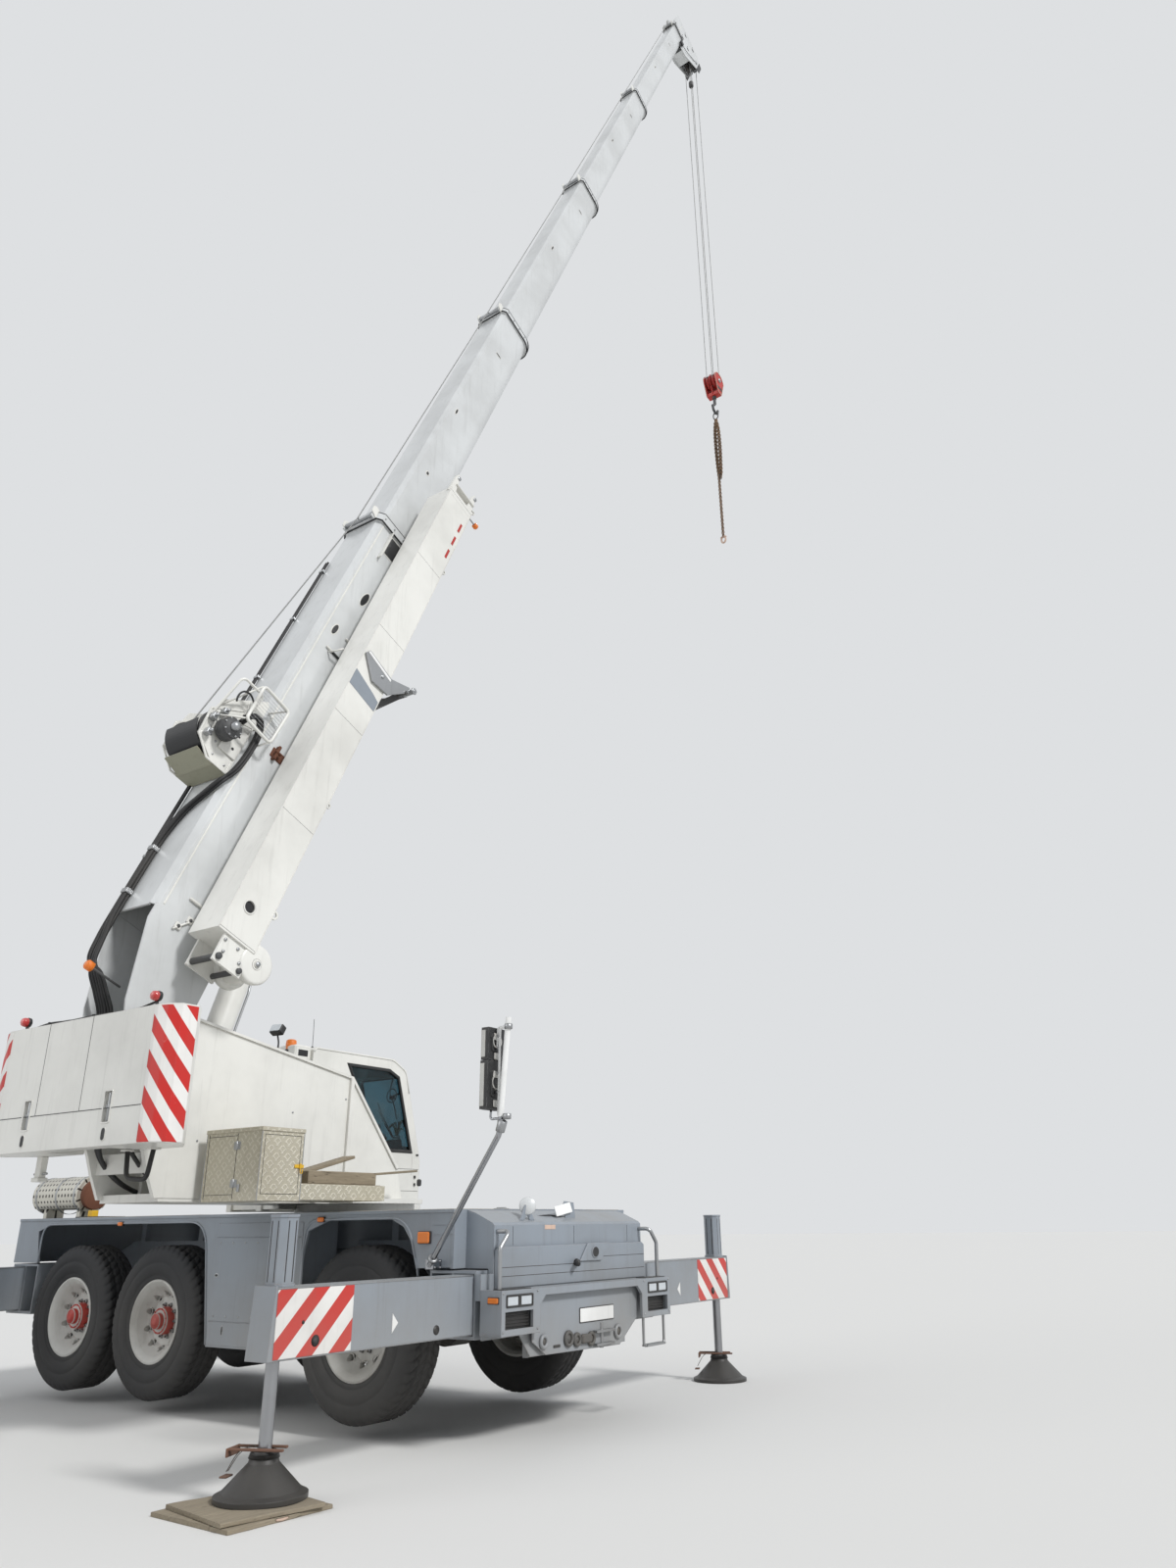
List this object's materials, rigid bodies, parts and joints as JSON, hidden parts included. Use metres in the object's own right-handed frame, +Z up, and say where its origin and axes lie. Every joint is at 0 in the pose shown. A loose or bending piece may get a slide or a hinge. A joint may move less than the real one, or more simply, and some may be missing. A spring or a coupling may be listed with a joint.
{
  "type": "mobile crane",
  "caption": "Mobile crane on rubber tyres, standing on its outriggers with the telescopic boom turned to the side, raised and run fully out.",
  "frame": {"origin": "ground level under the slew ring's axis", "axes": "+X towards the carrier's front, +Y to the carrier's left, +Z up"},
  "size_m": [7.4638, 13.5417, 31.8253],
  "materials": {
    "carrier_paint": "satin",
    "crane_paint": "satin",
    "rim_paint": "satin",
    "hook_paint": "satin",
    "tyre": "matt",
    "steel": "worn",
    "dark_metal": "matt",
    "chrome_rod": "polished",
    "plastic": "matt",
    "lamp_glass": "clear",
    "cab_pane": "tinted",
    "seat_fabric": "woven",
    "timber": "rough"
  },
  "bodies": {
    "carrier": {"chassis_frame": "carrier_paint", "deck_body": "carrier_paint", "nose_cowl": "carrier_paint", "front_bumper": "carrier_paint", "head_lamps": "lamp_glass", "front_fittings": "steel", "mirror_arm": "plastic", "silencer": "steel", "engine_block": "dark_metal", "timber_mat": "timber", "axle_1": "dark_metal", "axle_2": "dark_metal", "axle_3": "dark_metal"},
    "hub_1_left": {"knuckle_1_left": "dark_metal"},
    "wheel_1_left": {"tyre_1_left": "tyre", "rim_1_left": "rim_paint"},
    "hub_1_right": {"knuckle_1_right": "dark_metal"},
    "wheel_1_right": {"tyre_1_right": "tyre", "rim_1_right": "rim_paint"},
    "hub_2_left": {"knuckle_2_left": "dark_metal"},
    "wheel_2_left": {"tyre_2_left": "tyre", "rim_2_left": "rim_paint"},
    "hub_2_right": {"knuckle_2_right": "dark_metal"},
    "wheel_2_right": {"tyre_2_right": "tyre", "rim_2_right": "rim_paint"},
    "hub_3_left": {"knuckle_3_left": "dark_metal"},
    "wheel_3_left": {"tyre_3_left": "tyre", "rim_3_left": "rim_paint"},
    "hub_3_right": {"knuckle_3_right": "dark_metal"},
    "wheel_3_right": {"tyre_3_right": "tyre", "rim_3_right": "rim_paint"},
    "beam_front_right": {"outrigger_beam_front_right": "carrier_paint"},
    "jack_front_right": {"outrigger_jack_front_right": "steel"},
    "beam_front_left": {"outrigger_beam_front_left": "carrier_paint"},
    "jack_front_left": {"outrigger_jack_front_left": "steel"},
    "beam_rear_right": {"outrigger_beam_rear_right": "carrier_paint"},
    "jack_rear_right": {"outrigger_jack_rear_right": "steel"},
    "beam_rear_left": {"outrigger_beam_rear_left": "carrier_paint"},
    "jack_rear_left": {"outrigger_jack_rear_left": "steel"},
    "superstructure": {"turntable_frame": "crane_paint", "counterweight": "crane_paint", "toolbox": "steel"},
    "cab": {"cab_shell": "crane_paint", "cab_glass": "cab_pane", "cab_seat": "seat_fabric"},
    "door": {"cab_door": "crane_paint"},
    "boom": {"boom_base": "crane_paint", "winch_frame": "crane_paint", "jib": "crane_paint"},
    "winch": {"winch_drum": "dark_metal"},
    "lift_barrel": {"lift_cylinder": "crane_paint"},
    "lift_rod_body": {"lift_rod": "chrome_rod"},
    "section_1": {"boom_section_1": "crane_paint"},
    "section_2": {"boom_section_2": "crane_paint"},
    "section_3": {"boom_section_3": "crane_paint"},
    "section_4": {"boom_section_4": "crane_paint", "head_sheaves": "dark_metal"},
    "rope_hang": {"hoist_ropes": "steel"},
    "block": {"hook_block": "hook_paint"},
    "hook_swivel_body": {"hook": "hook_paint"}
  },
  "joints": [
    {"name": "steer_1_left", "type": "hinge", "parent": "carrier", "child": "hub_1_left", "pos_m": [1.32, 0.87, 0.759], "axis": [0, 0, 1], "range_deg": [-32, 32]},
    {"name": "roll_1_left", "type": "hinge", "parent": "hub_1_left", "child": "wheel_1_left", "pos_m": [1.32, 1.07, 0.759], "axis": [0, 1, 0], "continuous": true},
    {"name": "steer_1_right", "type": "hinge", "parent": "carrier", "child": "hub_1_right", "pos_m": [1.32, -0.87, 0.759], "axis": [0, 0, 1], "range_deg": [-32, 32]},
    {"name": "roll_1_right", "type": "hinge", "parent": "hub_1_right", "child": "wheel_1_right", "pos_m": [1.32, -1.07, 0.759], "axis": [0, 1, 0], "continuous": true},
    {"name": "steer_2_left", "type": "hinge", "parent": "carrier", "child": "hub_2_left", "pos_m": [-1.36, 0.87, 0.759], "axis": [0, 0, 1], "range_deg": [-16, 16]},
    {"name": "roll_2_left", "type": "hinge", "parent": "hub_2_left", "child": "wheel_2_left", "pos_m": [-1.36, 1.07, 0.759], "axis": [0, 1, 0], "continuous": true},
    {"name": "steer_2_right", "type": "hinge", "parent": "carrier", "child": "hub_2_right", "pos_m": [-1.36, -0.87, 0.759], "axis": [0, 0, 1], "range_deg": [-16, 16]},
    {"name": "roll_2_right", "type": "hinge", "parent": "hub_2_right", "child": "wheel_2_right", "pos_m": [-1.36, -1.07, 0.759], "axis": [0, 1, 0], "continuous": true},
    {"name": "steer_3_left", "type": "hinge", "parent": "carrier", "child": "hub_3_left", "pos_m": [-2.755, 0.87, 0.759], "axis": [0, 0, 1], "range_deg": [-6.08, 6.08]},
    {"name": "roll_3_left", "type": "hinge", "parent": "hub_3_left", "child": "wheel_3_left", "pos_m": [-2.755, 1.07, 0.759], "axis": [0, 1, 0], "continuous": true},
    {"name": "steer_3_right", "type": "hinge", "parent": "carrier", "child": "hub_3_right", "pos_m": [-2.755, -0.87, 0.759], "axis": [0, 0, 1], "range_deg": [-6.08, 6.08]},
    {"name": "roll_3_right", "type": "hinge", "parent": "hub_3_right", "child": "wheel_3_right", "pos_m": [-2.755, -1.07, 0.759], "axis": [0, 1, 0], "continuous": true},
    {"name": "outrigger_slide_front_right", "type": "slide", "parent": "carrier", "child": "beam_front_right", "axis": [0, -1, 0], "range_m": [-1.73, 0]},
    {"name": "jack_slide_front_right", "type": "slide", "parent": "beam_front_right", "child": "jack_front_right", "axis": [0, 0, -1], "range_m": [-0.44, 0]},
    {"name": "outrigger_slide_front_left", "type": "slide", "parent": "carrier", "child": "beam_front_left", "axis": [0, 1, 0], "range_m": [-1.95, 0]},
    {"name": "jack_slide_front_left", "type": "slide", "parent": "beam_front_left", "child": "jack_front_left", "axis": [0, 0, -1], "range_m": [-0.48, 0]},
    {"name": "outrigger_slide_rear_right", "type": "slide", "parent": "carrier", "child": "beam_rear_right", "axis": [0, -1, 0], "range_m": [-1.73, 0]},
    {"name": "jack_slide_rear_right", "type": "slide", "parent": "beam_rear_right", "child": "jack_rear_right", "axis": [0, 0, -1], "range_m": [-0.48, 0]},
    {"name": "outrigger_slide_rear_left", "type": "slide", "parent": "carrier", "child": "beam_rear_left", "axis": [0, 1, 0], "range_m": [-1.73, 0]},
    {"name": "jack_slide_rear_left", "type": "slide", "parent": "beam_rear_left", "child": "jack_rear_left", "axis": [0, 0, -1], "range_m": [-0.28, 0]},
    {"name": "slew", "type": "hinge", "parent": "carrier", "child": "superstructure", "pos_m": [0, 0, 1.7], "axis": [0, 0, 1], "continuous": true},
    {"name": "cab_travel", "type": "slide", "parent": "superstructure", "child": "cab", "axis": [0, 1, 0], "range_m": [0, 1.15]},
    {"name": "cab_door_hinge", "type": "hinge", "parent": "cab", "child": "door", "pos_m": [-1.234, -0.25, 2.5], "axis": [0, 0, 1], "range_deg": [0, 85]},
    {"name": "luff", "type": "hinge", "parent": "superstructure", "child": "boom", "pos_m": [0, -2.895, 2.755], "axis": [1, 0, 0], "range_deg": [-67.08, 14]},
    {"name": "winch_turn", "type": "hinge", "parent": "boom", "child": "winch", "pos_m": [0, -2.49719, 6.00681], "axis": [1, 0, 0], "continuous": true},
    {"name": "lift_cylinder_swing", "type": "hinge", "parent": "superstructure", "child": "lift_barrel", "pos_m": [0, -2.3, 2], "axis": [1, 0, 0], "range_deg": [-63.8, 13.35]},
    {"name": "lift_rod_stroke", "type": "slide", "parent": "lift_barrel", "child": "lift_rod_body", "axis": [0, 0.2851, 0.9585], "range_m": [-1.06, 0.222]},
    {"name": "telescope_1", "type": "slide", "parent": "boom", "child": "section_1", "axis": [0, 0.3894, 0.921], "range_m": [-5.74, 0]},
    {"name": "telescope_2", "type": "slide", "parent": "section_1", "child": "section_2", "axis": [0, 0.3894, 0.921], "range_m": [-5.74, 0]},
    {"name": "telescope_3", "type": "slide", "parent": "section_2", "child": "section_3", "axis": [0, 0.3894, 0.921], "range_m": [-5.74, 0]},
    {"name": "telescope_4", "type": "slide", "parent": "section_3", "child": "section_4", "axis": [0, 0.3894, 0.921], "range_m": [-5.36, 0]},
    {"name": "rope_swing", "type": "hinge", "parent": "section_4", "child": "rope_hang", "pos_m": [0, 9.72397, 31.02775], "axis": [1, 0, 0], "range_deg": [-14, 67.08]},
    {"name": "hoist", "type": "slide", "parent": "rope_hang", "child": "block", "axis": [0, 0, -1], "range_m": [-9.8, 17.4], "deforming": ["hoist_ropes"]},
    {"name": "hook_swivel", "type": "hinge", "parent": "block", "child": "hook_swivel_body", "pos_m": [0, 9.72397, 19.2278], "axis": [0, 0, 1], "continuous": true}
  ],
  "couplings": [
    {"joint": "steer_1_right", "follows": "steer_1_left", "ratio": 1},
    {"joint": "steer_2_left", "follows": "steer_1_left", "ratio": -0.5},
    {"joint": "steer_2_right", "follows": "steer_1_left", "ratio": -0.5},
    {"joint": "steer_3_left", "follows": "steer_1_left", "ratio": -0.19},
    {"joint": "steer_3_right", "follows": "steer_1_left", "ratio": -0.19},
    {"joint": "lift_cylinder_swing", "follows": "luff", "ratio": 0.95},
    {"joint": "lift_rod_stroke", "follows": "luff", "m_per_rad": 0.9},
    {"joint": "rope_swing", "follows": "luff", "ratio": -1}
  ]
}
